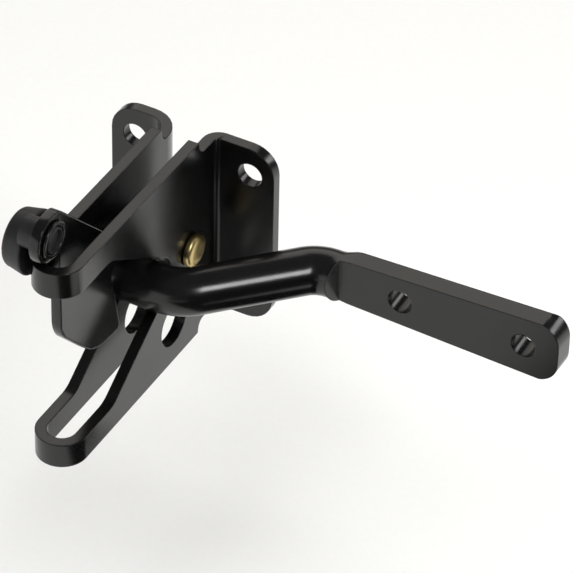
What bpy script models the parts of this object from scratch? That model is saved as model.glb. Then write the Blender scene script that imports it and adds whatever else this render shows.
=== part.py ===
"""Automatic gate latch: a steel bracket that screws to a post, a gravity pawl on a rivet, and a strike bar.

X runs along the post's face towards the gate, the face itself is y = 0 and the latch stands out towards -Y.
Z is up. z = 0 is the middle of the ears, the pivot's axis and the strike bar's axis; x = 0 is the middle of
the channel between the bracket's two walls. Sizes are in metres.
"""

import math

import bmesh
import bpy
import numpy as np
from mathutils import Vector

MM = 0.001
GAP = 0.3 * MM  # left between pieces that touch
EDGE = 0.35 * MM  # broken edge of the stamped steel
LONG = 60 * MM  # length of a cutter that runs right through

# Bracket
SHEET = 3.05 * MM
CHANNEL_WIDTH = 14.0 * MM
FRONT_BEND_Y = -69.4 * MM  # centre of the U bends
WALL_TOP = 31.5 * MM
WALL_BOTTOM = -31.0 * MM
WALL_BACK_Y = -12.0 * MM  # behind it the walls drop to the ears' height
RIGHT_BEND_RADIUS = 1.6 * MM  # inside radius of the bend into the right ear
LEFT_BEND_RADIUS = 5.6 * MM
EAR_REACH = 17.0 * MM
EAR_HALF_HEIGHT = 27.4 * MM
EAR_CORNER = 7.5 * MM
SCREW_X = 17.0 * MM
SCREW_Z = 19.1 * MM
SCREW_RADIUS = 3.5 * MM
MOUTH_HALF_HEIGHT = 23.9 * MM
MOUTH_SLOPE = math.radians(33.5)
MOUTH_ROUND = 8.0 * MM
THROAT_Y = -33.6 * MM
THROAT_RADIUS = 7.7 * MM
PADLOCK_Y = -24.7 * MM
PADLOCK_Z = -18.9 * MM
PADLOCK_RADIUS = 6.35 * MM

# Pivot
PIVOT_Y = -16.0 * MM
PIVOT_Z = 0.0
RIVET_RADIUS = 3.0 * MM
RIVET_HEAD_RADIUS = 4.6 * MM
RIVET_HEAD_HEIGHT = 2.1 * MM
SPACER_RADIUS = 5.2 * MM

# Pawl
PAWL_THICK = 3.0 * MM
PAWL_LIFT_EAR = (-71.5 * MM, 38.4 * MM)
PAWL_EAR_RADIUS = 6.5 * MM
STEM_HOLE_RADIUS = 3.8 * MM

# Lift knob
KNOB_CENTRE = (-67.5 * MM, 31.9 * MM)
KNOB_NEAR_X = -7.4 * MM
KNOB_FAR_X = -13.7 * MM
KNOB_NEAR_RADIUS = 8.7 * MM
KNOB_FAR_RADIUS = 7.9 * MM
KNOB_ROUND = 1.8 * MM
NECK_RADIUS = 4.2 * MM
STEM_RADIUS = 3.5 * MM
STEM_END_X = 0.5 * MM
STEM_DIMPLE_RADIUS = 3.0 * MM
STEM_DIMPLE_DEPTH = 1.0 * MM
RETAINER_RADIUS = 5.1 * MM
RETAINER_THICK = 0.8 * MM

# Strike bar
BAR_RADIUS = 6.35 * MM
BAR_TIP_X = -15.0 * MM
BAR_TIP_Y = -33.8 * MM
JOG_ANGLE = math.radians(46)
JOG_START_X = 13.2 * MM  # where the tip's axis meets the jog's axis
JOG_RADIUS_TIP = 13.0 * MM
JOG_RADIUS_FLAT = 10.0 * MM
JOG_END_Y = -6.6 * MM  # the bar's axis beside the forged flat
SHOULDER_START_X = 44.6 * MM
SHOULDER_END_X = 46.4 * MM  # where the shoulder meets the flat's front
FLAT_FRONT_Y = -8.3 * MM
FLAT_BACK_Y = -1.8 * MM
FLAT_START_X = 50.0 * MM
FLAT_END_X = 108.6 * MM
FLAT_START_HALF = 6.8 * MM
FLAT_END_HALF = 9.0 * MM
FLAT_END_CORNER = 6.5 * MM
FLAT_BACK_ROUND = 1.6 * MM
FLAT_EDGE = 0.5 * MM
FLAT_HOLES_X = (63.8 * MM, 98.8 * MM)
FLAT_HOLE_RADIUS = 3.4 * MM

HALF_WIDTH = CHANNEL_WIDTH / 2
INNER_HALF = HALF_WIDTH - SHEET
PAWL_LEFT_X = -INNER_HALF + GAP
PAWL_RIGHT_X = PAWL_LEFT_X + PAWL_THICK
FULL_TURN = 2 * math.pi
QUARTER = math.pi / 2


def clear_scene():
    for obj in list(bpy.data.objects):
        bpy.data.objects.remove(obj, do_unlink=True)


def material(name, colour, metallic, roughness):
    made = bpy.data.materials.new(name)
    made.use_nodes = True
    shader = made.node_tree.nodes["Principled BSDF"]
    shader.inputs["Base Color"].default_value = (*colour, 1)
    shader.inputs["Metallic"].default_value = metallic
    shader.inputs["Roughness"].default_value = roughness
    return made


def arc(centre, radius, start, end, count):
    """Points on a circle from one angle to another, both ends included."""
    angles = np.linspace(start, end, count)
    return [(centre[0] + radius * math.cos(a), centre[1] + radius * math.sin(a)) for a in angles]


def rounded(corners, count=7):
    """A closed outline through (u, v, radius) corners, each rounded by its own arc."""
    outline = []
    for i, (u, v, radius) in enumerate(corners):
        here = Vector((u, v))
        before = (Vector(corners[i - 1][:2]) - here).normalized()
        after = (Vector(corners[(i + 1) % len(corners)][:2]) - here).normalized()
        if radius <= 0:
            outline.append((u, v))
            continue
        half = before.angle(after) / 2
        middle = here + (before + after).normalized() * (radius / math.sin(half))
        first = here + before * (radius / math.tan(half)) - middle
        last = here + after * (radius / math.tan(half)) - middle
        start = math.atan2(first.y, first.x)
        turn = (math.atan2(last.y, last.x) - start + math.pi) % FULL_TURN - math.pi
        outline += arc(middle, radius, start, start + turn, count)
    return outline


def mesh_object(name, mesh_edit, finish=None):
    """A new object from a bmesh, its faces turned outwards and its curved sides shaded smooth."""
    bmesh.ops.remove_doubles(mesh_edit, verts=mesh_edit.verts, dist=1e-7)
    bmesh.ops.recalc_face_normals(mesh_edit, faces=mesh_edit.faces)
    mesh = bpy.data.meshes.new(name)
    mesh_edit.to_mesh(mesh)
    mesh_edit.free()
    mesh.shade_smooth()
    mesh.set_sharp_from_angle(angle=math.radians(35))
    obj = bpy.data.objects.new(name, mesh)
    bpy.context.scene.collection.objects.link(obj)
    if finish:
        mesh.materials.append(finish)
    return obj


def prism(name, outline, start, end, axis, finish=None):
    """An outline extruded along X, Y or Z: (y, z) points along X, (x, z) along Y and (x, y) along Z."""
    place = {
        "X": lambda u, v, w: (w, u, v),
        "Y": lambda u, v, w: (u, w, v),
        "Z": lambda u, v, w: (u, v, w),
    }[axis]
    edit = bmesh.new()
    rings = [[edit.verts.new(place(u, v, w)) for u, v in outline] for w in (start, end)]
    edit.faces.new(rings[0])
    edit.faces.new(reversed(rings[1]))
    for i in range(len(outline)):
        j = (i + 1) % len(outline)
        edit.faces.new((rings[0][j], rings[0][i], rings[1][i], rings[1][j]))
    return mesh_object(name, edit, finish)


def turned(name, profile, centre, sides, finish=None):
    """A solid turned about an axis along X through centre (y, z), from (x, radius) points."""
    edit = bmesh.new()
    angles = np.arange(sides) * FULL_TURN / sides
    rings = []
    for x, radius in profile:
        if radius == 0:
            rings.append([edit.verts.new((x, centre[0], centre[1]))])
            continue
        rings.append([
            edit.verts.new((x, centre[0] + radius * math.cos(a), centre[1] + radius * math.sin(a)))
            for a in angles
        ])
    for low, high in zip(rings, rings[1:]):
        for i in range(sides):
            j = (i + 1) % sides
            corners = [low[i % len(low)], low[j % len(low)], high[j % len(high)], high[i % len(high)]]
            edit.faces.new(dict.fromkeys(corners))
    return mesh_object(name, edit, finish)


def closed_ring(name, profile, centre, sides, finish=None):
    """A ring turned about an axis along X: its (x, radius) profile is closed and misses the axis."""
    return turned(name, [*profile, profile[0]], centre, sides, finish)


def boolean(obj, other, operation):
    change = obj.modifiers.new(other.name, "BOOLEAN")
    change.operation = operation
    change.object = other
    other.hide_render = True
    other.display_type = "WIRE"


def break_edges(obj, width=EDGE, segments=1):
    bevel = obj.modifiers.new("broken edges", "BEVEL")
    bevel.width = width
    bevel.segments = segments
    bevel.limit_method = "ANGLE"
    bevel.angle_limit = math.radians(40)
    bevel.harden_normals = False


def round_cutter(name, axis, centre, radius, sides, along=0.0):
    """A cylinder along X or Y, far longer than what it cuts."""
    outline = arc(centre, radius, 0, FULL_TURN * (1 - 1 / sides), sides)
    return prism(name, outline, along - LONG, along + LONG, axis)


def ear_bend(side, radius):
    """From one ear's end to the wall: the sheet's outer and inner lines, as (x, y) points."""
    centre = (HALF_WIDTH + radius, -SHEET - radius)
    ear_end = HALF_WIDTH + EAR_REACH
    outer = [(ear_end, -SHEET), *arc(centre, radius, QUARTER, math.pi, 8)]
    inner = [(ear_end, 0.0), *arc(centre, radius + SHEET, QUARTER, math.pi, 8)]
    return [[(side * x, y) for x, y in line] for line in (outer, inner)]


def bracket_plan():
    """The bent sheet seen from above, as one closed outline of (x, y) points."""
    front = (0.0, FRONT_BEND_Y)
    right_outer, right_inner = ear_bend(1, RIGHT_BEND_RADIUS)
    left_outer, left_inner = ear_bend(-1, LEFT_BEND_RADIUS)
    outer = right_outer + arc(front, HALF_WIDTH, 0, -math.pi, 25) + left_outer[::-1]
    inner = left_inner + arc(front, INNER_HALF, -math.pi, 0, 25) + right_inner[::-1]
    return outer + inner


def mouth_outline():
    """The fish mouth between the jaws: straight slopes that run on to the round throat."""
    normal = (math.sin(MOUTH_SLOPE), math.cos(MOUTH_SLOPE))
    corner_y = THROAT_Y - (MOUTH_HALF_HEIGHT * normal[1] - THROAT_RADIUS) / normal[0]
    open_y = FRONT_BEND_Y - LONG
    tangent = QUARTER - MOUTH_SLOPE
    throat = arc((THROAT_Y, 0), THROAT_RADIUS, tangent, -tangent, 13)
    shape = rounded([
        (open_y, MOUTH_HALF_HEIGHT, 0),
        (corner_y, MOUTH_HALF_HEIGHT, MOUTH_ROUND),
        (*throat[0], 0),
        (*throat[-1], 0),
        (corner_y, -MOUTH_HALF_HEIGHT, MOUTH_ROUND),
        (open_y, -MOUTH_HALF_HEIGHT, 0),
    ])
    start = next(i for i, point in enumerate(shape) if point == throat[0])
    return shape[:start] + throat + shape[start + 2:]


def shoulder_outline(side):
    """What is cut from the walls' top or bottom behind the arms, down to the ears' height."""
    far = side * LONG
    wall = side * (WALL_TOP if side > 0 else -WALL_BOTTOM)
    ear = side * EAR_HALF_HEIGHT
    return rounded([
        (WALL_BACK_Y, far, 0),
        (WALL_BACK_Y, wall, 0),
        (WALL_BACK_Y + 0.6 * MM, ear, 2.6 * MM),
        (LONG, ear, 0),
        (LONG, far, 0),
    ])


def corner_outline(x_side, z_side):
    """The waste outside one rounded outer corner of an ear, as (x, z) points."""
    end = HALF_WIDTH + EAR_REACH
    centre = (end - EAR_CORNER, EAR_HALF_HEIGHT - EAR_CORNER)
    points = arc(centre, EAR_CORNER, 0, QUARTER, 8)
    waste = points + [(centre[0], LONG), (LONG, LONG), (LONG, centre[1])]
    return [(x_side * x, z_side * z) for x, z in waste]


def make_bracket(finish):
    bracket = prism("latch_bracket", bracket_plan(), WALL_BOTTOM, WALL_TOP, "Z", finish)
    cutters = [prism("mouth_cutter", mouth_outline(), -LONG, LONG, "X")]
    for side, label in ((1, "top"), (-1, "bottom")):
        cutters.append(prism(f"{label}_shoulder_cutter", shoulder_outline(side), -LONG, LONG, "X"))
    for x_side in (1, -1):
        for z_side in (1, -1):
            label = f"{'right' if x_side > 0 else 'left'}_{'top' if z_side > 0 else 'bottom'}"
            outline = corner_outline(x_side, z_side)
            cutters.append(prism(f"{label}_corner_cutter", outline, -0.2 * LONG, LONG, "Y"))
            centre = (x_side * SCREW_X, z_side * SCREW_Z)
            cutters.append(round_cutter(f"{label}_screw_cutter", "Y", centre, SCREW_RADIUS, 24))
    padlock = (PADLOCK_Y, PADLOCK_Z)
    cutters.append(round_cutter("padlock_cutter", "X", padlock, PADLOCK_RADIUS, 36))
    pivot = (PIVOT_Y, PIVOT_Z)
    cutters.append(round_cutter("pivot_cutter", "X", pivot, RIVET_RADIUS + GAP, 20))
    for cutter in cutters:
        boolean(bracket, cutter, "DIFFERENCE")
    break_edges(bracket)
    return bracket


def make_rivet(finish):
    """The pivot: a straight shank with a low domed head at each end, outside both walls."""
    seat = HALF_WIDTH + GAP
    edge = 0.9 * MM
    dome = [
        (seat + edge + (RIVET_HEAD_HEIGHT - edge) * math.sin(a), RIVET_HEAD_RADIUS * math.cos(a) ** 0.5)
        for a in np.linspace(0, 0.94 * QUARTER, 6)
    ]
    right = [(seat, RIVET_RADIUS), (seat, RIVET_HEAD_RADIUS), *dome, (seat + RIVET_HEAD_HEIGHT, 0)]
    left = [(-x, radius) for x, radius in reversed(right)]
    return turned("pivot_rivet", left + right, (PIVOT_Y, PIVOT_Z), 28, finish)


def make_spacer(finish):
    """The sleeve that keeps the pawl against the left wall."""
    ends = (PAWL_RIGHT_X + GAP, INNER_HALF - GAP)
    inner = RIVET_RADIUS + GAP
    profile = [(ends[0], inner), (ends[1], inner), (ends[1], SPACER_RADIUS), (ends[0], SPACER_RADIUS)]
    return closed_ring("pivot_spacer", profile, (PIVOT_Y, PIVOT_Z), 28, finish)


def pawl_outline():
    """The pawl's plate from the side, as (y, z) points: ear, back slope, tail, hook over the bar and nose."""
    ear_y, ear_z = PAWL_LIFT_EAR
    ear_front = ear_y - PAWL_EAR_RADIUS
    ear_foot = ear_z - PAWL_EAR_RADIUS
    ear_top = ear_z + PAWL_EAR_RADIUS
    nose_front = -68.0 * MM
    corners = [
        (ear_front, ear_foot, PAWL_EAR_RADIUS * 0.98),
        (ear_front, ear_top, PAWL_EAR_RADIUS * 0.98),
        (-67.6 * MM, ear_top, 4.0 * MM),
        (-44.5 * MM, 21.6 * MM, 16.0 * MM),
        (PIVOT_Y - 6.0 * MM, 8.6 * MM, 6.0 * MM),
        (PIVOT_Y + 8.0 * MM, 8.0 * MM, 7.0 * MM),
        (PIVOT_Y + 8.0 * MM, -23.0 * MM, 4.0 * MM),
        (PIVOT_Y - 1.7 * MM, -23.0 * MM, 4.0 * MM),
        (PIVOT_Y - 1.7 * MM, -9.0 * MM, 5.0 * MM),
        (PIVOT_Y - 8.6 * MM, -5.5 * MM, 4.0 * MM),
        (PIVOT_Y - 8.6 * MM, 9.0 * MM, 2.5 * MM),
        (-43.5 * MM, 9.0 * MM, 2.5 * MM),
        (-38.6 * MM, -13.0 * MM, 1.8 * MM),
        (-52.0 * MM, -12.0 * MM, 14.0 * MM),
        (nose_front, 5.0 * MM, 10.0 * MM),
        (nose_front, ear_foot, 0),
    ]
    return rounded(corners, 8)


def make_pawl(finish):
    pawl = prism("latch_pawl", pawl_outline(), PAWL_LEFT_X, PAWL_RIGHT_X, "X", finish)
    pivot = (PIVOT_Y, PIVOT_Z)
    boolean(pawl, round_cutter("pawl_pivot_cutter", "X", pivot, RIVET_RADIUS + GAP, 20), "DIFFERENCE")
    stem = round_cutter("stem_cutter", "X", PAWL_LIFT_EAR, STEM_HOLE_RADIUS, 28)
    boolean(pawl, stem, "DIFFERENCE")
    break_edges(pawl)
    return pawl


def make_knob(finish):
    """The moulded knob: a tapered body outside the wall, on a neck and stem that stand off its axis."""
    depth = KNOB_ROUND
    far = [
        (KNOB_FAR_X + depth * (1 - math.sin(a)), KNOB_FAR_RADIUS - depth * (1 - math.cos(a)))
        for a in np.linspace(QUARTER, 0, 6)
    ]
    near_edge = 0.6 * MM
    profile = [(KNOB_FAR_X, 0), *far]
    profile += [(KNOB_NEAR_X - near_edge, KNOB_NEAR_RADIUS), (KNOB_NEAR_X, KNOB_NEAR_RADIUS - near_edge)]
    profile += [(KNOB_NEAR_X, 0)]
    knob = turned("lift_knob", profile, KNOB_CENTRE, 40, finish)
    buried = KNOB_NEAR_X - 0.8 * MM
    shoulder = PAWL_LEFT_X - GAP
    edge = 0.25 * MM
    neck = turned(
        "neck_and_stem",
        [
            (buried, 0),
            (buried, NECK_RADIUS),
            (shoulder, NECK_RADIUS),
            (shoulder, STEM_RADIUS),
            (STEM_END_X - edge, STEM_RADIUS),
            (STEM_END_X, STEM_RADIUS - edge),
            (STEM_END_X, STEM_DIMPLE_RADIUS),
            (STEM_END_X - STEM_DIMPLE_DEPTH, STEM_DIMPLE_RADIUS),
            (STEM_END_X - STEM_DIMPLE_DEPTH, 0),
        ],
        PAWL_LIFT_EAR,
        28,
    )
    boolean(knob, neck, "UNION")
    return knob


def make_retainer(finish):
    """The push-on ring that holds the knob's stem in the ear."""
    start = PAWL_RIGHT_X + GAP
    end = start + RETAINER_THICK
    edge = 0.25 * MM
    profile = [
        (start, STEM_HOLE_RADIUS),
        (end, STEM_HOLE_RADIUS),
        (end, RETAINER_RADIUS - edge),
        (end - edge, RETAINER_RADIUS),
        (start, RETAINER_RADIUS),
    ]
    return closed_ring("knob_retainer", profile, PAWL_LIFT_EAR, 36, finish)


def bar_route():
    """Stations along the blank: centre (x, y), heading, half height and corner radius."""
    half = JOG_ANGLE / 2
    jog_end_x = JOG_START_X + (JOG_END_Y - BAR_TIP_Y) / math.tan(JOG_ANGLE)
    stations = [
        (BAR_TIP_X, BAR_TIP_Y, 0.0, BAR_RADIUS, BAR_RADIUS),
        (JOG_START_X / 3, BAR_TIP_Y, 0.0, BAR_RADIUS, BAR_RADIUS),
    ]
    start_x = JOG_START_X - JOG_RADIUS_TIP * math.tan(half)
    for turn in np.linspace(0, JOG_ANGLE, 13):
        x = start_x + JOG_RADIUS_TIP * math.sin(turn)
        y = BAR_TIP_Y + JOG_RADIUS_TIP * (1 - math.cos(turn))
        stations.append((x, y, turn, BAR_RADIUS, BAR_RADIUS))
    finish_x = jog_end_x + JOG_RADIUS_FLAT * math.tan(half)
    for turn in np.linspace(JOG_ANGLE, 0, 12):
        x = finish_x - JOG_RADIUS_FLAT * math.sin(turn)
        y = JOG_END_Y - JOG_RADIUS_FLAT * (1 - math.cos(turn))
        stations.append((x, y, turn, BAR_RADIUS, BAR_RADIUS))
    flat_y = FLAT_BACK_Y - BAR_RADIUS
    for share in np.linspace(0, 1, 5):
        x = SHOULDER_START_X + share * (FLAT_START_X - SHOULDER_START_X)
        blend = share * share * (3 - 2 * share)
        y, high, corner = (
            a + blend * (b - a)
            for a, b in (
                (JOG_END_Y, flat_y),
                (BAR_RADIUS, FLAT_START_HALF),
                (BAR_RADIUS, FLAT_BACK_ROUND),
            )
        )
        stations.append((x, y, 0.0, high, corner))
    stations.append((FLAT_END_X, flat_y, 0.0, FLAT_END_HALF, FLAT_BACK_ROUND))
    return stations


def bar_section(high, corner, count=12):
    """A closed section of (across, up) points, as thick as the bar and of the given half height."""
    signs = ((1, 1), (-1, 1), (-1, -1), (1, -1))
    points = []
    for quarter, (across, up) in enumerate(signs):
        centre = (across * (BAR_RADIUS - corner), up * (high - corner))
        points += arc(centre, corner, quarter * QUARTER, (quarter + 1) * QUARTER, count)
    return points


def make_strike(finish):
    """The bar's blank, with the front forged away over its flat end, the end rounded and two holes punched."""
    edit = bmesh.new()
    rings = []
    for x, y, heading, high, corner in bar_route():
        across = (-math.sin(heading), math.cos(heading))
        rings.append([
            edit.verts.new((x + u * across[0], y + u * across[1], v)) for u, v in bar_section(high, corner)
        ])
    for low, high in zip(rings, rings[1:]):
        for i in range(len(low)):
            j = (i + 1) % len(low)
            edit.faces.new((low[i], low[j], high[j], high[i]))
    edit.faces.new(rings[0])
    edit.faces.new(reversed(rings[-1]))
    strike = mesh_object("strike_bar", edit, finish)
    bar_front_y = JOG_END_Y - BAR_RADIUS
    slope = (SHOULDER_END_X - SHOULDER_START_X) / (FLAT_FRONT_Y - bar_front_y)
    clear_y = bar_front_y - 3 * MM
    clear_x = SHOULDER_START_X - 3 * MM * slope
    front = [
        (clear_x, clear_y),
        (SHOULDER_END_X, FLAT_FRONT_Y),
        (3 * LONG, FLAT_FRONT_Y),
        (3 * LONG, -LONG),
        (clear_x, -LONG),
    ]
    boolean(strike, prism("forged_front_cutter", front, -LONG, LONG, "Z"), "DIFFERENCE")
    centre = (FLAT_END_X - FLAT_END_CORNER, FLAT_END_HALF - FLAT_END_CORNER)
    for side, label in ((1, "top"), (-1, "bottom")):
        points = arc(centre, FLAT_END_CORNER, 0, QUARTER, 12)
        points += [(centre[0], LONG), (FLAT_END_X + LONG, LONG), (FLAT_END_X + LONG, centre[1])]
        outline = [(x, side * z) for x, z in points]
        boolean(strike, prism(f"{label}_end_cutter", outline, -LONG, LONG, "Y"), "DIFFERENCE")
    for number, x in enumerate(FLAT_HOLES_X, 1):
        cutter = round_cutter(f"strike_hole_cutter_{number}", "Y", (x, 0.0), FLAT_HOLE_RADIUS, 32)
        boolean(strike, cutter, "DIFFERENCE")
    break_edges(strike, FLAT_EDGE, 2)
    return strike


def main():
    clear_scene()
    paint = material("black_powder_coat", (0.012, 0.012, 0.013), 0.0, 0.28)
    brass = material("brass_plate", (0.55, 0.40, 0.14), 1.0, 0.32)
    zinc = material("zinc_plate", (0.42, 0.43, 0.44), 1.0, 0.4)
    plastic = material("black_moulded_plastic", (0.03, 0.03, 0.032), 0.0, 0.5)
    make_bracket(paint)
    make_rivet(brass)
    make_spacer(zinc)
    moving = bpy.data.objects.new("pawl_axis", None)
    moving.location = (0, PIVOT_Y, PIVOT_Z)
    bpy.context.scene.collection.objects.link(moving)
    bpy.context.view_layer.update()
    for piece in (make_pawl(paint), make_knob(plastic), make_retainer(paint)):
        piece.parent = moving
        piece.matrix_parent_inverse = moving.matrix_world.inverted()
    make_strike(paint)


main()
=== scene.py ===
"""Automatic gate latch: its finishes, its turned and moulded pieces, and the studio round it.

Metres; X runs along the post's face towards the gate, -Y stands out of the post, Z is up.
"""

import math

import bpy
import numpy as np
from mathutils import Matrix, Vector


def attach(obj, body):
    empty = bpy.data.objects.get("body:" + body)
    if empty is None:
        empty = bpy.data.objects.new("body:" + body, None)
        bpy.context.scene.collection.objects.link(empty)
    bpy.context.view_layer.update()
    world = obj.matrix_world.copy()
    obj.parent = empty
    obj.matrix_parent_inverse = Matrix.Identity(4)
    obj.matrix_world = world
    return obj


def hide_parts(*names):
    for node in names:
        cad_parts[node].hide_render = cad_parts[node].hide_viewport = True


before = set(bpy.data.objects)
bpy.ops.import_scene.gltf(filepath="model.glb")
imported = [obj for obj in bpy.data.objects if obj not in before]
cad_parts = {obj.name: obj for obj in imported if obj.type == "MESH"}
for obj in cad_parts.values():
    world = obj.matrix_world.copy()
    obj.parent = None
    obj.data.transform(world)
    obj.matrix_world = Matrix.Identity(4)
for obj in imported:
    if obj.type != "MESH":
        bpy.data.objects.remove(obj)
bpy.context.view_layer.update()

# ---------------------------------------------------------------- latch bracket
# 11 gauge steel sheet, blanked with its fish mouth and holes, bent into a flat U with
# two ears, then powder coated. The four ear holes take the screws into the post.

MM = 0.001
COAT_DARK = "090909"
COAT_LIGHT = "100F0F"
# lighter grey for the edges: partly rubbed wear, partly a painted edge highlight
COAT_EDGE_WEAR_AND_HIGHLIGHT = "2E2C29"
PEEL_WIDTH = 0.9 * MM  # orange peel of a baked powder coat
GRAIN_WIDTH = 0.3 * MM  # powder grain, drawn about three times coarser than it is so that it shows
FILM_WIDTH = 17 * MM  # slow changes in the film's thickness
SOFT_EDGE = 0.45 * MM  # the coat's own roundness over a sheared edge
PEEL_DEPTH = 0.015 * MM
GRAIN_DEPTH = 0.01 * MM
COAT_ROUGHNESS = (0.16, 0.22)  # where the film is thin and where it is thick
GRAIN_ROUGHNESS = 0.06
COAT_IOR = 1.5
SHEARED_EDGE = 50  # degrees: a sharper corner than this stays a hard edge in the shading


def linear(hex_colour, alpha=1.0):
    """An sRGB hex colour as linear RGBA."""
    srgb = np.array([int(hex_colour[i:i + 2], 16) / 255 for i in (0, 2, 4)])
    rgb = np.where(srgb <= 0.04045, srgb / 12.92, ((srgb + 0.055) / 1.055) ** 2.4)
    return (*rgb.tolist(), alpha)


def add(tree, kind, inputs, **settings):
    """Adds a node: settings are its properties, inputs are values or the sockets that feed it."""
    made = tree.nodes.new(kind)
    for name, value in settings.items():
        setattr(made, name, value)
    for name, value in inputs.items():
        if isinstance(value, bpy.types.NodeSocket):
            tree.links.new(value, made.inputs[name])
        else:
            made.inputs[name].default_value = value
    return made


def finish_material(name, metallic, ior=None):
    """An empty material with its Principled shader, and the Object coordinates its patterns read."""
    made = bpy.data.materials.new(name)
    made.use_nodes = True
    tree = made.node_tree
    shader = tree.nodes["Principled BSDF"]
    shader.inputs["Metallic"].default_value = metallic
    if ior:
        shader.inputs["IOR"].default_value = ior
    place = add(tree, "ShaderNodeTexCoord", {}).outputs["Object"]
    return made, tree, shader, place


def powder_coat():
    """Semi-gloss black polyester powder on steel, sprayed and baked.

    The eye gets a near black with a soft, slightly wavy gloss, a fine grain, and a
    lighter grey along the edges, which is partly rubbed wear and partly a painted highlight.
    """
    made, tree, shader, place = finish_material("semi_gloss_black_powder_coat", 0.0, COAT_IOR)
    film, peel, grain = (
        add(tree, "ShaderNodeTexNoise", {"Vector": place, "Scale": 1 / width, "Detail": detail, "Roughness": rough})
        for width, detail, rough in ((FILM_WIDTH, 3.0, 0.55), (PEEL_WIDTH, 1.5, 0.4), (GRAIN_WIDTH, 1.0, 0.5))
    )
    film, peel, grain = film.outputs["Fac"], peel.outputs["Fac"], grain.outputs["Fac"]

    # An edge is where the rounded-off normal turns away from the surface's own.
    rounded = add(tree, "ShaderNodeBevel", {"Radius": SOFT_EDGE}, samples=6).outputs["Normal"]
    own = add(tree, "ShaderNodeNewGeometry", {}).outputs["Normal"]
    turn = add(tree, "ShaderNodeVectorMath", {0: rounded, 1: own}, operation="DOT_PRODUCT")
    edge = add(
        tree,
        "ShaderNodeMapRange",
        {"Value": turn.outputs["Value"], "From Min": 0.985, "From Max": 0.86, "To Min": 0.0, "To Max": 1.0},
    )
    # The edges are painted a lighter grey, in random patches: partly rubbed wear, partly a painted highlight where
    # the edges catch the light.
    edge_patches = add(
        tree, "ShaderNodeMapRange", {"Value": film, "From Min": 0.42, "From Max": 0.62, "To Min": 0.15, "To Max": 0.8}
    )
    wear_and_highlight = add(tree, "ShaderNodeMath", {0: edge.outputs["Result"], 1: edge_patches.outputs["Result"]}, operation="MULTIPLY")

    # A Mix node names its sockets alike for each data type, so its colours go by number: 6 and 7 in, 2 out.
    coat = add(
        tree, "ShaderNodeMix", {0: film, 6: linear(COAT_DARK), 7: linear(COAT_LIGHT)}, data_type="RGBA"
    )
    worn_and_highlit = add(
        tree,
        "ShaderNodeMix",
        {0: wear_and_highlight.outputs["Value"], 6: coat.outputs[2], 7: linear(COAT_EDGE_WEAR_AND_HIGHLIGHT)},
        data_type="RGBA",
    )
    tree.links.new(worn_and_highlit.outputs[2], shader.inputs["Base Color"])
    smoothest, roughest = COAT_ROUGHNESS
    gloss = add(
        tree,
        "ShaderNodeMapRange",
        {"Value": film, "From Min": 0.3, "From Max": 0.7, "To Min": smoothest, "To Max": roughest},
    )
    rough = add(
        tree, "ShaderNodeMath", {0: grain, 1: GRAIN_ROUGHNESS, 2: gloss.outputs["Result"]}, operation="MULTIPLY_ADD"
    )
    tree.links.new(rough.outputs["Value"], shader.inputs["Roughness"])
    wavy = add(
        tree, "ShaderNodeBump", {"Height": peel, "Strength": 0.12, "Distance": PEEL_DEPTH, "Normal": rounded}
    )
    grained = add(
        tree,
        "ShaderNodeBump",
        {"Height": grain, "Strength": 0.08, "Distance": GRAIN_DEPTH, "Normal": wavy.outputs["Normal"]},
    )
    tree.links.new(grained.outputs["Normal"], shader.inputs["Normal"])
    return made


def steel_piece(name, node, body):
    """A steel piece on its CAD solid's own surface, joined up and shaded as one skin.

    The node's loose triangles have equal corners; those are rounded to a tenth of a micron
    and merged, and normals are then weighted by face area, so flats stay flat and bends
    and broken edges roll.
    """
    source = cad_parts[node].data
    source.calc_loop_triangles()
    corners = np.empty(3 * len(source.vertices), np.float32)
    source.vertices.foreach_get("co", corners)
    triangles = np.empty(3 * len(source.loop_triangles), np.int32)
    source.loop_triangles.foreach_get("vertices", triangles)
    points, index = np.unique(np.round(corners.reshape(-1, 3).astype(float), 7), axis=0, return_inverse=True)
    faces = index.reshape(-1)[triangles].reshape(-1, 3)
    faces = faces[(faces != np.roll(faces, 1, axis=1)).all(axis=1)]
    mesh = bpy.data.meshes.new(name)
    mesh.from_pydata(points, [], faces)
    mesh.shade_smooth()
    mesh.set_sharp_from_angle(angle=math.radians(SHEARED_EDGE))
    mesh.materials.append(black_coat)
    piece = bpy.data.objects.new(name, mesh)
    bpy.context.scene.collection.objects.link(piece)
    weighted = piece.modifiers.new("flats stay flat", "WEIGHTED_NORMAL")
    weighted.keep_sharp = True
    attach(piece, body)
    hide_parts(node)


black_coat = powder_coat()
steel_piece("bracket_sheet", "latch_bracket", "bracket")

# ---------------------------------------------------------------- pivot rivet
# A cold-headed steel rivet, yellow passivated, so it has the colour of pale brass. Each end
# is peened to a low dome over its wall, and the peening and tumbling leave faint dents.

PIVOT = (-16.0 * MM, 0.0)
RIVET_SHANK = 3.0 * MM
RIVET_HEAD = 4.6 * MM
RIVET_SEAT_X = 7.3 * MM
RIVET_HEIGHT = 2.1 * MM
RIVET_RIM = 0.7 * MM  # straight part of the head under its dome
RIVET_BROKEN_EDGE = 0.15 * MM
TURNED_EDGE = 38  # degrees: a sharper corner than this on a turned piece stays a hard edge
CLOUD_WIDTH = 3.5 * MM
DENT_WIDTH = 1.1 * MM
DENT_DEPTH = 0.05 * MM
BRASS_PALE = "EBD9A2"
BRASS_DEEP = "CBAE68"


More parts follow.
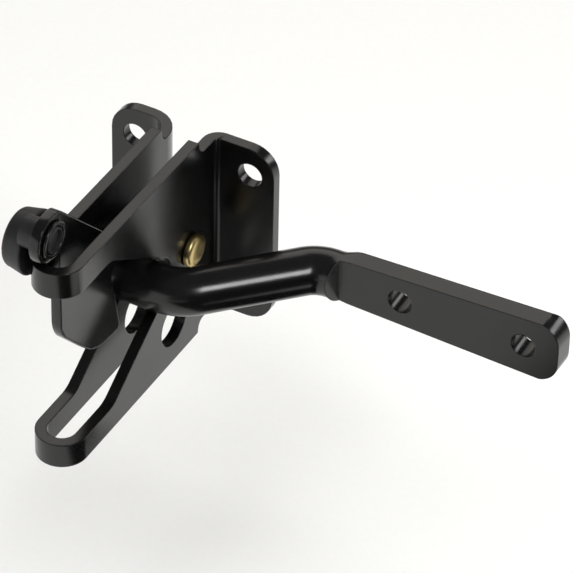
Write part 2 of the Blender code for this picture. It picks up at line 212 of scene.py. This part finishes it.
def revolved(name, profile, centre, sides=96):
    """A closed surface turned about an axis along X.

    At angle a, the profile's point (x, r) goes to (x, centre y + r cos a, centre z + r sin a).
    A profile that starts and ends on the axis is closed by two poles; any other is a ring,
    whose last point joins its first.
    """
    profile = np.asarray(profile, float)
    solid = profile[0, 1] == 0
    angles = np.arange(sides) * (2 * math.pi / sides)
    rows = profile[1:-1] if solid else profile
    x = np.repeat(rows[:, :1], sides, axis=1)
    y = centre[0] + rows[:, 1:] * np.cos(angles)
    z = centre[1] + rows[:, 1:] * np.sin(angles)
    points = np.stack([x, y, z], axis=2).reshape(-1, 3)
    count = len(rows)
    row, column = np.meshgrid(np.arange(count - 1 if solid else count), np.arange(sides), indexing="ij")
    after, beside = (row + 1) % count, (column + 1) % sides
    corners = [row * sides + column, row * sides + beside, after * sides + beside, after * sides + column]
    quads = np.stack(corners, axis=2)
    faces = quads.reshape(-1, 4).tolist()
    if solid:
        poles = [(profile[i, 0], centre[0], centre[1]) for i in (0, -1)]
        points = np.vstack([points, poles])
        ring, turned_ring = np.arange(sides), np.roll(np.arange(sides), -1)
        first = np.full(sides, count * sides)
        faces += np.stack([first, turned_ring, ring], axis=1).tolist()
        last = (count - 1) * sides
        faces += np.stack([first + 1, last + ring, last + turned_ring], axis=1).tolist()
    mesh = bpy.data.meshes.new(name)
    mesh.from_pydata(points, [], faces)
    mesh.shade_smooth()
    mesh.set_sharp_from_angle(angle=math.radians(TURNED_EDGE))
    piece = bpy.data.objects.new(name, mesh)
    bpy.context.scene.collection.objects.link(piece)
    return piece


def passivated_brass_tone():
    """Yellow zinc passivation on steel, tumbled: a pale brass with a soft metallic sheen, and
    cloudy patches where the film is thicker."""
    made, tree, shader, place = finish_material("yellow_passivated_steel", 1.0)
    cloud = add(
        tree, "ShaderNodeTexNoise", {"Vector": place, "Scale": 1 / CLOUD_WIDTH, "Detail": 4.0, "Roughness": 0.6}
    ).outputs["Fac"]
    tone = add(tree, "ShaderNodeMix", {0: cloud, 6: linear(BRASS_DEEP), 7: linear(BRASS_PALE)}, data_type="RGBA")
    tree.links.new(tone.outputs[2], shader.inputs["Base Color"])
    rough = add(
        tree,
        "ShaderNodeMapRange",
        {"Value": cloud, "From Min": 0.3, "From Max": 0.7, "To Min": 0.26, "To Max": 0.42},
    )
    tree.links.new(rough.outputs["Result"], shader.inputs["Roughness"])
    dents = add(
        tree, "ShaderNodeTexNoise", {"Vector": place, "Scale": 1 / DENT_WIDTH, "Detail": 1.0, "Roughness": 0.5}
    )
    tumbled = add(tree, "ShaderNodeBump", {"Height": dents.outputs["Fac"], "Strength": 0.35, "Distance": DENT_DEPTH})
    tree.links.new(tumbled.outputs["Normal"], shader.inputs["Normal"])
    return made


# Over its rim the head is a flattened dome: at angle a, x grows with sin a ** 0.9 and the
# radius shrinks with cos a ** 0.4, so that the middle is nearly flat, as the peening tool leaves it.
dome_turn = np.linspace(0, 1, 15)[1:] * math.pi / 2
dome_x = RIVET_SEAT_X + RIVET_RIM + (RIVET_HEIGHT - RIVET_RIM) * np.sin(dome_turn) ** 0.9
dome_r = RIVET_HEAD * np.cos(dome_turn) ** 0.4
dome_r[-1] = 0
head = [
    (RIVET_SEAT_X, RIVET_SHANK),
    (RIVET_SEAT_X, RIVET_HEAD - RIVET_BROKEN_EDGE),
    (RIVET_SEAT_X + RIVET_BROKEN_EDGE, RIVET_HEAD),
    (RIVET_SEAT_X + RIVET_RIM, RIVET_HEAD),
    *zip(dome_x, dome_r),
]
rivet = revolved("peened_rivet", [(-x, r) for x, r in head[::-1]] + head, PIVOT)
rivet.data.materials.append(passivated_brass_tone())
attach(rivet, "bracket")
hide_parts("pivot_rivet")

# ---------------------------------------------------------------- pivot spacer
# A short length of zinc-plated steel tube on the rivet's shank. It fills the channel beside
# the pawl, and its two cut ends have been faced in a lathe.

SPACER_X = (-0.35 * MM, 3.65 * MM)
SPACER_BORE = 3.3 * MM
SPACER_RADIUS = 5.2 * MM
FACED = 0.3 * MM
GROOVE_WIDTH = 0.25 * MM
GROOVE_LENGTH = 9 * MM
GROOVE_DEPTH = 0.02 * MM
ZINC_BRIGHT = "A9ABAC"
ZINC_DULL = "838587"


def zinc_plate():
    """Clear zinc plate over a turned surface: a grey metal, streaked round its axis by the lathe."""
    made, tree, shader, place = finish_material("zinc_plated_turned_steel", 1.0)
    per_groove = (1 / GROOVE_WIDTH, 1 / GROOVE_LENGTH, 1 / GROOVE_LENGTH)
    squashed = add(tree, "ShaderNodeMapping", {"Vector": place, "Scale": per_groove})
    streak = add(
        tree, "ShaderNodeTexNoise", {"Vector": squashed.outputs["Vector"], "Scale": 1.0, "Detail": 2.0}
    ).outputs["Fac"]
    tone = add(tree, "ShaderNodeMix", {0: streak, 6: linear(ZINC_DULL), 7: linear(ZINC_BRIGHT)}, data_type="RGBA")
    tree.links.new(tone.outputs[2], shader.inputs["Base Color"])
    rough = add(tree, "ShaderNodeMapRange", {"Value": streak, "To Min": 0.32, "To Max": 0.5})
    tree.links.new(rough.outputs["Result"], shader.inputs["Roughness"])
    grooves = add(tree, "ShaderNodeBump", {"Height": streak, "Strength": 0.4, "Distance": GROOVE_DEPTH})
    tree.links.new(grooves.outputs["Normal"], shader.inputs["Normal"])
    return made


near, far = SPACER_X
spacer = revolved(
    "spacer_tube",
    [
        (near, SPACER_BORE + FACED),
        (near, SPACER_RADIUS - FACED),
        (near + FACED, SPACER_RADIUS),
        (far - FACED, SPACER_RADIUS),
        (far, SPACER_RADIUS - FACED),
        (far, SPACER_BORE + FACED),
        (far - FACED, SPACER_BORE),
        (near + FACED, SPACER_BORE),
    ],
    PIVOT,
)
spacer.data.materials.append(zinc_plate())
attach(spacer, "bracket")
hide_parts("pivot_spacer")

# ---------------------------------------------------------------- pawl
# One flat stamping from the same sheet and with the same coat. Its hook drops over the bar,
# its nose hangs in the mouth, and its round ear above the bracket carries the knob.

steel_piece("pawl_plate", "latch_pawl", "pawl")

# ---------------------------------------------------------------- lift knob
# A solid moulding in black nylon: a tapered button outside the wall, with a neck that passes
# over the wall's top and a stem through the ear. The mould leaves a fine matt grain.

KNOB_CENTRE = (-67.5 * MM, 31.9 * MM)
KNOB_NEAR_X, KNOB_FAR_X = -7.4 * MM, -13.7 * MM
KNOB_NEAR_RADIUS, KNOB_FAR_RADIUS = 8.7 * MM, 7.9 * MM
KNOB_ROUND = 1.8 * MM
KNOB_NEAR_ROUND = 0.6 * MM
EAR_CENTRE = (-71.5 * MM, 38.4 * MM)
NECK_RADIUS = 4.2 * MM
STEM_RADIUS = 3.5 * MM
SHOULDER_X = -3.95 * MM
STEM_END_X = 0.5 * MM
STEM_EDGE = 0.25 * MM
STEM_OVERLAP = 0.8 * MM  # how far the neck starts inside the button, so that the two join
DIMPLE_RADIUS, DIMPLE_DEPTH = 3.0 * MM, 1.0 * MM
NYLON_IOR = 1.53
SHADE_WIDTH = 6 * MM
SPARK_WIDTH = 0.35 * MM
SPARK_DEPTH = 0.03 * MM
NYLON_DARK = "161617"
NYLON_LIGHT = "212122"


def moulded_nylon():
    """Black glass-filled nylon, injection moulded in a spark-eroded tool: satin, with an even fine grain."""
    made, tree, shader, place = finish_material("spark_grained_black_nylon", 0.0, NYLON_IOR)
    shade = add(tree, "ShaderNodeTexNoise", {"Vector": place, "Scale": 1 / SHADE_WIDTH, "Detail": 2.0})
    tone = add(
        tree,
        "ShaderNodeMix",
        {0: shade.outputs["Fac"], 6: linear(NYLON_DARK), 7: linear(NYLON_LIGHT)},
        data_type="RGBA",
    )
    tree.links.new(tone.outputs[2], shader.inputs["Base Color"])
    spark = add(
        tree, "ShaderNodeTexNoise", {"Vector": place, "Scale": 1 / SPARK_WIDTH, "Detail": 2.0, "Roughness": 0.6}
    ).outputs["Fac"]
    rough = add(tree, "ShaderNodeMapRange", {"Value": spark, "To Min": 0.4, "To Max": 0.62})
    tree.links.new(rough.outputs["Result"], shader.inputs["Roughness"])
    pitted = add(tree, "ShaderNodeBump", {"Height": spark, "Strength": 0.3, "Distance": SPARK_DEPTH})
    tree.links.new(pitted.outputs["Normal"], shader.inputs["Normal"])
    return made


# The button's far edge is a quarter circle: at angle a, x is one radius less its sine and r is
# one radius less its cosine. Its side then leans out in a straight line to the near edge, which
# is a smaller quarter circle.
quarter = np.linspace(math.pi / 2, 0, 12)
far_edge_x = KNOB_FAR_X + KNOB_ROUND * (1 - np.sin(quarter))
far_edge_r = KNOB_FAR_RADIUS - KNOB_ROUND * (1 - np.cos(quarter))
lean_x = np.linspace(KNOB_FAR_X + KNOB_ROUND, KNOB_NEAR_X - KNOB_NEAR_ROUND, 7)[1:]
lean_r = np.linspace(KNOB_FAR_RADIUS, KNOB_NEAR_RADIUS, 7)[1:]
near_turn = np.linspace(0, math.pi / 2, 6)[1:]
near_edge_x = KNOB_NEAR_X - KNOB_NEAR_ROUND * (1 - np.sin(near_turn))
near_edge_r = KNOB_NEAR_RADIUS - KNOB_NEAR_ROUND * (1 - np.cos(near_turn))
button_profile = [
    (KNOB_FAR_X, 0),
    *zip(far_edge_x, far_edge_r),
    *zip(lean_x, lean_r),
    *zip(near_edge_x, near_edge_r),
    (KNOB_NEAR_X, 0),
]
knob = revolved("lift_button", button_profile, KNOB_CENTRE, sides=128)
stem = revolved(
    "stem_to_join",
    [
        (KNOB_NEAR_X - STEM_OVERLAP, 0),
        (KNOB_NEAR_X - STEM_OVERLAP, NECK_RADIUS),
        (SHOULDER_X - STEM_EDGE, NECK_RADIUS),
        (SHOULDER_X, NECK_RADIUS - STEM_EDGE),
        (SHOULDER_X, STEM_RADIUS),
        (STEM_END_X - STEM_EDGE, STEM_RADIUS),
        (STEM_END_X, STEM_RADIUS - STEM_EDGE),
        (STEM_END_X, DIMPLE_RADIUS),
        (STEM_END_X - DIMPLE_DEPTH, DIMPLE_RADIUS - STEM_EDGE),
        (STEM_END_X - DIMPLE_DEPTH, 0),
    ],
    EAR_CENTRE,
)
joined = knob.modifiers.new("neck and stem", "BOOLEAN")
joined.operation = "UNION"
joined.solver = "EXACT"
joined.object = stem
bpy.context.view_layer.update()
whole = bpy.data.meshes.new_from_object(knob.evaluated_get(bpy.context.evaluated_depsgraph_get()))
knob.modifiers.clear()
knob.data = whole
whole.set_sharp_from_angle(angle=math.radians(TURNED_EDGE))
whole.materials.clear()
whole.materials.append(moulded_nylon())
bpy.data.objects.remove(stem)
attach(knob, "pawl")
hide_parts("lift_knob")

# ---------------------------------------------------------------- knob retainer
# A push-on spring steel ring on the stem's end, with a rolled rim, coated with the pawl. It
# stands as a raised bead on the ear.

RETAINER_X = (-0.35 * MM, 0.45 * MM)
RETAINER_BORE, RETAINER_RADIUS = 3.8 * MM, 5.1 * MM

# The rim's section is a fat oval: at angle a, x goes with cos a ** 0.7, keeping its sign, and
# the radius with -sin a.
BEAD_POINTS = 24
bead_turn = np.arange(BEAD_POINTS) * (2 * math.pi / BEAD_POINTS)
bead_half_x = (RETAINER_X[1] - RETAINER_X[0]) / 2
bead_half_r = (RETAINER_RADIUS - RETAINER_BORE) / 2
bead_x = np.mean(RETAINER_X) + bead_half_x * np.sign(np.cos(bead_turn)) * np.abs(np.cos(bead_turn)) ** 0.7
bead_r = (RETAINER_BORE + RETAINER_RADIUS) / 2 - bead_half_r * np.sin(bead_turn)
retainer = revolved("retaining_ring", list(zip(bead_x, bead_r)), EAR_CENTRE)
retainer.data.materials.append(black_coat)
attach(retainer, "pawl")
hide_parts("knob_retainer")

# ---------------------------------------------------------------- strike bar
# Half-inch round bar, jogged hot, with its gate end forged flat, rounded and punched for two
# screws. It has the bracket's coat.

steel_piece("strike_bar_forging", "strike_bar", "strike")

# ---------------------------------------------------------------- floor, lights and camera
# A pale sweep of paper under the latch, soft boxes above and behind it, and a narrow box to
# the right whose reflection runs along the bar.

FLOOR_Z = -90 * MM
FLOOR_HALF = 4.0
PAPER_SHADE = "F2F2F0"
PAPER_WHITE = "F6F6F4"
TOOTH_WIDTH = 2 * MM
FLAG_LOW, FLAG_HIGH = FLOOR_Z + 1 * MM, 170 * MM
FLAG_X = 340 * MM
LATCH_MIDDLE = Vector((20 * MM, -32 * MM, 0))


def paper():
    """Matt white studio paper, with a barely visible tooth."""
    made, tree, shader, place = finish_material("matt_white_paper", 0.0)
    tooth = add(tree, "ShaderNodeTexNoise", {"Vector": place, "Scale": 1 / TOOTH_WIDTH, "Detail": 2.0})
    tone = add(
        tree,
        "ShaderNodeMix",
        {0: tooth.outputs["Fac"], 6: linear(PAPER_SHADE), 7: linear(PAPER_WHITE)},
        data_type="RGBA",
    )
    tree.links.new(tone.outputs[2], shader.inputs["Base Color"])
    shader.inputs["Roughness"].default_value = 0.9
    shader.inputs["Specular IOR Level"].default_value = 0.1
    return made


def soft_box(name, direction, distance, wide, high, radiance, colour="FFFFFF", reflected=True):
    """A rectangular soft box that faces the latch. Its power is pi times its area times its radiance."""
    light = bpy.data.lights.new(name, "AREA")
    light.shape = "RECTANGLE"
    light.size, light.size_y = wide, high
    light.energy = math.pi * wide * high * radiance
    light.color = linear(colour)[:3]
    box = bpy.data.objects.new(name, light)
    away = Vector(direction).normalized()
    box.location = LATCH_MIDDLE + away * distance
    box.rotation_mode = "QUATERNION"
    box.rotation_quaternion = away.to_track_quat("Z", "Y")
    box.visible_glossy = reflected
    bpy.context.scene.collection.objects.link(box)


def black_felt():
    """Black felt on card, which swallows almost all light."""
    made, _, shader, _ = finish_material("black_felt_card", 0.0)
    shader.inputs["Base Color"].default_value = linear("0C0C0C")
    shader.inputs["Roughness"].default_value = 1.0
    shader.inputs["Specular IOR Level"].default_value = 0.0
    return made


def flat_stage(name, corners, material):
    """One flat face through the corners."""
    stage_mesh = bpy.data.meshes.new(name)
    stage_mesh.from_pydata(corners, [], [tuple(range(len(corners)))])
    stage_mesh.materials.append(material)
    made = bpy.data.objects.new(name, stage_mesh)
    bpy.context.scene.collection.objects.link(made)
    return made


square = [(-1, -1), (1, -1), (1, 1), (-1, 1)]
flat_stage("paper_floor", [(x * FLOOR_HALF, y * FLOOR_HALF, FLOOR_Z) for x, y in square], paper())

# The flags show only in reflections: they darken the gloss on one side and cast no shadow.
felt = black_felt()
on_floor = [
    (66, -500), (340, -500), (340, -100), (135, -100),
    (135, 0), (40, 0), (40, -30), (66, -90),
]
upright = [(-500, FLAG_LOW), (-500, FLAG_HIGH), (90, FLAG_HIGH), (90, FLAG_LOW)]
for flag in (
    flat_stage("flag_on_the_floor", [(x * MM, y * MM, FLAG_LOW) for x, y in on_floor], felt),
    flat_stage("flag_at_the_right", [(FLAG_X, y * MM, z) for y, z in upright], felt),
):
    flag.visible_camera = flag.visible_diffuse = flag.visible_transmission = flag.visible_shadow = False

soft_box("box_overhead", (0.05, -0.1, 1.0), 0.9, 0.9, 0.9, 3.6, reflected=False)
soft_box("box_back_left", (-0.40, 0.69, 0.60), 1.0, 0.8, 0.6, 1.2, "FFFAF2")
soft_box("box_right_strip", (0.70, -0.34, 0.59), 0.9, 0.17, 0.26, 17.0)
soft_box("box_right_back", (0.63, 0.69, 0.40), 0.9, 0.25, 0.25, 5.0)
soft_box("box_front_left", (-0.42, -0.9, 0.08), 0.9, 1.2, 0.42, 0.9)

world = bpy.data.worlds.new("studio")
world.use_nodes = True
world.node_tree.nodes["Background"].inputs["Color"].default_value = linear("FFFFFF")
world.node_tree.nodes["Background"].inputs["Strength"].default_value = 0.12
bpy.context.scene.world = world
bpy.context.scene.view_settings.view_transform = "Standard"

# The camera stands well back with a long lens, to the right of the post and above it.
AZIMUTH, ELEVATION, ROLL = (math.radians(angle) for angle in (27.91, 39.13, 1.26))
AIM = Vector((39.93 * MM, -25.0 * MM, 7.21 * MM))
DISTANCE = 1150.8 * MM
back = Vector((
    math.sin(AZIMUTH) * math.cos(ELEVATION),
    -math.cos(AZIMUTH) * math.cos(ELEVATION),
    math.sin(ELEVATION),
))
level_right = Vector((math.cos(AZIMUTH), math.sin(AZIMUTH), 0))
level_up = back.cross(level_right)
right = level_right * math.cos(ROLL) + level_up * math.sin(ROLL)
up = level_up * math.cos(ROLL) - level_right * math.sin(ROLL)
lens = bpy.data.cameras.new("camera")
lens.sensor_width = 36.0
lens.lens = 286.1
lens.clip_start, lens.clip_end = 0.05, 20.0
camera = bpy.data.objects.new("camera", lens)
turned_to_latch = Matrix((right, up, back)).transposed().to_4x4()
camera.matrix_world = Matrix.Translation(AIM + back * DISTANCE) @ turned_to_latch
bpy.context.scene.collection.objects.link(camera)
bpy.context.scene.camera = camera

bpy.context.view_layer.update()
